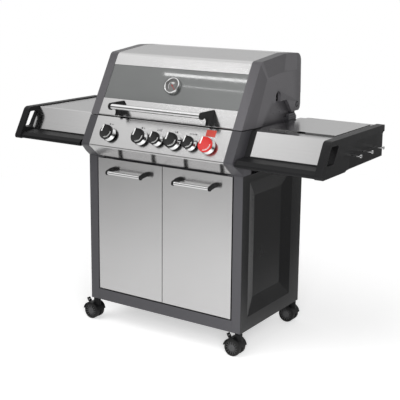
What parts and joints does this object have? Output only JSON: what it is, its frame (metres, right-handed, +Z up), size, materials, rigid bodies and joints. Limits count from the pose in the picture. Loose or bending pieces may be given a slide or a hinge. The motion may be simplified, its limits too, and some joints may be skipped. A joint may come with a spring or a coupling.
{
  "type": "gas barbecue grill",
  "caption": "Gas barbecue grill: cabinet cart on swivel casters, hinged lid with a window, sloping control panel with push-and-turn knobs, side shelves and a side burner.",
  "frame": {"origin": "middle of the outline on the ground, under the grill", "axes": "+X to the right as the cook sees it, +Y from the front to the rear, +Z up"},
  "size_m": [1.517, 0.5692, 1.1713],
  "materials": {
    "stainless": "brushed, satin to near mirror",
    "plain_steel": "plain sheet steel",
    "grey_enamel": "fine powder coat, satin",
    "cast_enamel": "fine powder coat on die castings, satin",
    "black_enamel": "satin enamel",
    "black_plastic": "fine grained moulding",
    "wheel_rubber": "smooth tread",
    "chrome": "polished plating",
    "gloss_black": "glossy moulding",
    "gloss_red": "glossy moulding",
    "smoked_glass": "tinted, mirror-like outer face",
    "iron": "matt enamel",
    "gas_rail": "as cast",
    "dial_white": "printed dial",
    "needle_red": "painted"
  },
  "bodies": {
    "cart": {"cart_frame": "grey_enamel", "cart_base": "grey_enamel", "side_panels": "black_enamel", "back_panel": "black_enamel", "door_hinge_pins": "chrome", "control_panel": "stainless", "panel_cheeks": "grey_enamel", "knob_bezels": "chrome", "gas_manifold": "gas_rail", "firebox": "black_enamel", "burners": "plain_steel", "flame_tamers": "plain_steel", "cooking_grates": "iron", "warming_rack": "chrome", "hinge_brackets": "grey_enamel", "left_shelf": "stainless", "right_shelf": "stainless", "shelf_end_caps": "black_plastic", "shelf_front_rails": "black_plastic", "tool_hooks": "chrome", "side_burner": "black_enamel"},
    "lid": {"lid_cheeks": "cast_enamel", "lid_roof": "stainless", "lid_window": "smoked_glass", "lid_band": "stainless", "lid_handle_tube": "chrome", "lid_handle_brackets": "black_plastic", "thermometer_case": "chrome", "thermometer_dial": "dial_white"},
    "needle": {"thermometer_needle": "needle_red"},
    "left_door": {"left_door": "stainless", "left_door_handle_tube": "chrome", "left_door_handle_brackets": "black_plastic"},
    "right_door": {"right_door": "stainless", "right_door_handle_tube": "chrome", "right_door_handle_brackets": "black_plastic"},
    "side_burner_lid": {"side_burner_lid": "stainless"},
    "grease_tray": {"grease_tray": "plain_steel"},
    "spindle_1": {"spindle_1": "plain_steel"},
    "knob_1": {"knob_1": "gloss_black"},
    "spindle_2": {"spindle_2": "plain_steel"},
    "knob_2": {"knob_2": "gloss_black"},
    "spindle_3": {"spindle_3": "plain_steel"},
    "knob_3": {"knob_3": "gloss_black"},
    "spindle_4": {"spindle_4": "plain_steel"},
    "knob_4": {"knob_4": "gloss_black"},
    "spindle_5": {"spindle_5": "plain_steel"},
    "knob_5": {"knob_5": "gloss_black"},
    "spindle_6": {"spindle_6": "plain_steel"},
    "knob_6": {"knob_6": "gloss_red"},
    "left_front_caster": {"left_front_caster": "black_plastic"},
    "left_front_wheels": {"left_front_wheels": "wheel_rubber"},
    "right_front_caster": {"right_front_caster": "black_plastic"},
    "right_front_wheels": {"right_front_wheels": "wheel_rubber"},
    "left_rear_caster": {"left_rear_caster": "black_plastic"},
    "left_rear_wheels": {"left_rear_wheels": "wheel_rubber"},
    "right_rear_caster": {"right_rear_caster": "black_plastic"},
    "right_rear_wheels": {"right_rear_wheels": "wheel_rubber"},
    "left_front_brake": {"left_front_brake": "black_plastic"},
    "right_front_brake": {"right_front_brake": "black_plastic"}
  },
  "joints": [
    {"name": "lid_hinge", "type": "hinge", "parent": "cart", "child": "lid", "pos_m": [-0.0205, 0.21011, 0.96], "axis": [-1, 0, 0], "range_deg": [0, 85]},
    {"name": "needle_turn", "type": "hinge", "parent": "lid", "child": "needle", "pos_m": [-0.0205, -0.14223, 1.04057], "axis": [0, 0.8746, -0.4848], "range_deg": [0, 270]},
    {"name": "left_door_hinge", "type": "hinge", "parent": "cart", "child": "left_door", "pos_m": [-0.338, -0.20089, 0.44], "axis": [0, 0, -1], "range_deg": [0, 105]},
    {"name": "right_door_hinge", "type": "hinge", "parent": "cart", "child": "right_door", "pos_m": [0.297, -0.20089, 0.44], "axis": [0, 0, 1], "range_deg": [0, 105]},
    {"name": "knob_1_push", "type": "slide", "parent": "cart", "child": "spindle_1", "axis": [0, 0.8746, -0.4848], "range_m": [0, 0.004], "stiffness_N_per_m": 1200, "springref_m": -0.002},
    {"name": "knob_1_turn", "type": "hinge", "parent": "spindle_1", "child": "knob_1", "pos_m": [-0.2605, -0.26423, 0.84523], "axis": [0, -0.8746, 0.4848], "range_deg": [0, 180]},
    {"name": "knob_2_push", "type": "slide", "parent": "cart", "child": "spindle_2", "axis": [0, 0.8746, -0.4848], "range_m": [0, 0.004], "stiffness_N_per_m": 1200, "springref_m": -0.002},
    {"name": "knob_2_turn", "type": "hinge", "parent": "spindle_2", "child": "knob_2", "pos_m": [-0.1005, -0.26423, 0.84523], "axis": [0, -0.8746, 0.4848], "range_deg": [0, 180]},
    {"name": "knob_3_push", "type": "slide", "parent": "cart", "child": "spindle_3", "axis": [0, 0.8746, -0.4848], "range_m": [0, 0.004], "stiffness_N_per_m": 1200, "springref_m": -0.002},
    {"name": "knob_3_turn", "type": "hinge", "parent": "spindle_3", "child": "knob_3", "pos_m": [-0.0205, -0.26423, 0.84523], "axis": [0, -0.8746, 0.4848], "range_deg": [0, 180]},
    {"name": "knob_4_push", "type": "slide", "parent": "cart", "child": "spindle_4", "axis": [0, 0.8746, -0.4848], "range_m": [0, 0.004], "stiffness_N_per_m": 1200, "springref_m": -0.002},
    {"name": "knob_4_turn", "type": "hinge", "parent": "spindle_4", "child": "knob_4", "pos_m": [0.0595, -0.26423, 0.84523], "axis": [0, -0.8746, 0.4848], "range_deg": [0, 180]},
    {"name": "knob_5_push", "type": "slide", "parent": "cart", "child": "spindle_5", "axis": [0, 0.8746, -0.4848], "range_m": [0, 0.004], "stiffness_N_per_m": 1200, "springref_m": -0.002},
    {"name": "knob_5_turn", "type": "hinge", "parent": "spindle_5", "child": "knob_5", "pos_m": [0.1395, -0.26423, 0.84523], "axis": [0, -0.8746, 0.4848], "range_deg": [0, 180]},
    {"name": "knob_6_push", "type": "slide", "parent": "cart", "child": "spindle_6", "axis": [0, 0.8746, -0.4848], "range_m": [0, 0.004], "stiffness_N_per_m": 1200, "springref_m": -0.002},
    {"name": "knob_6_turn", "type": "hinge", "parent": "spindle_6", "child": "knob_6", "pos_m": [0.2195, -0.26423, 0.84523], "axis": [0, -0.8746, 0.4848], "range_deg": [0, 180]},
    {"name": "side_burner_lid_hinge", "type": "hinge", "parent": "cart", "child": "side_burner_lid", "pos_m": [0.536, 0.22741, 0.9022], "axis": [-1, 0, 0], "range_deg": [0, 95]},
    {"name": "grease_tray_slide", "type": "slide", "parent": "cart", "child": "grease_tray", "axis": [0, 1, 0], "range_m": [0, 0.32]},
    {"name": "left_front_swivel", "type": "hinge", "parent": "cart", "child": "left_front_caster", "pos_m": [-0.3805, -0.19289, 0.09], "axis": [0, 0, 1], "continuous": true},
    {"name": "left_front_roll", "type": "hinge", "parent": "left_front_caster", "child": "left_front_wheels", "pos_m": [-0.3975, -0.19289, 0.035], "axis": [0, 1, 0], "continuous": true},
    {"name": "right_front_swivel", "type": "hinge", "parent": "cart", "child": "right_front_caster", "pos_m": [0.3395, -0.19289, 0.09], "axis": [0, 0, 1], "continuous": true},
    {"name": "right_front_roll", "type": "hinge", "parent": "right_front_caster", "child": "right_front_wheels", "pos_m": [0.3225, -0.19289, 0.035], "axis": [0, 1, 0], "continuous": true},
    {"name": "left_rear_swivel", "type": "hinge", "parent": "cart", "child": "left_rear_caster", "pos_m": [-0.3805, 0.25711, 0.09], "axis": [0, 0, 1], "continuous": true},
    {"name": "left_rear_roll", "type": "hinge", "parent": "left_rear_caster", "child": "left_rear_wheels", "pos_m": [-0.3975, 0.25711, 0.035], "axis": [0, 1, 0], "continuous": true},
    {"name": "right_rear_swivel", "type": "hinge", "parent": "cart", "child": "right_rear_caster", "pos_m": [0.3395, 0.25711, 0.09], "axis": [0, 0, 1], "continuous": true},
    {"name": "right_rear_roll", "type": "hinge", "parent": "right_rear_caster", "child": "right_rear_wheels", "pos_m": [0.3225, 0.25711, 0.035], "axis": [0, 1, 0], "continuous": true},
    {"name": "left_front_brake_press", "type": "hinge", "parent": "left_front_caster", "child": "left_front_brake", "pos_m": [-0.42302, -0.19289, 0.07145], "axis": [0, -1, 0], "range_deg": [0, 18]},
    {"name": "right_front_brake_press", "type": "hinge", "parent": "right_front_caster", "child": "right_front_brake", "pos_m": [0.29698, -0.19289, 0.07145], "axis": [0, -1, 0], "range_deg": [0, 18]}
  ]
}
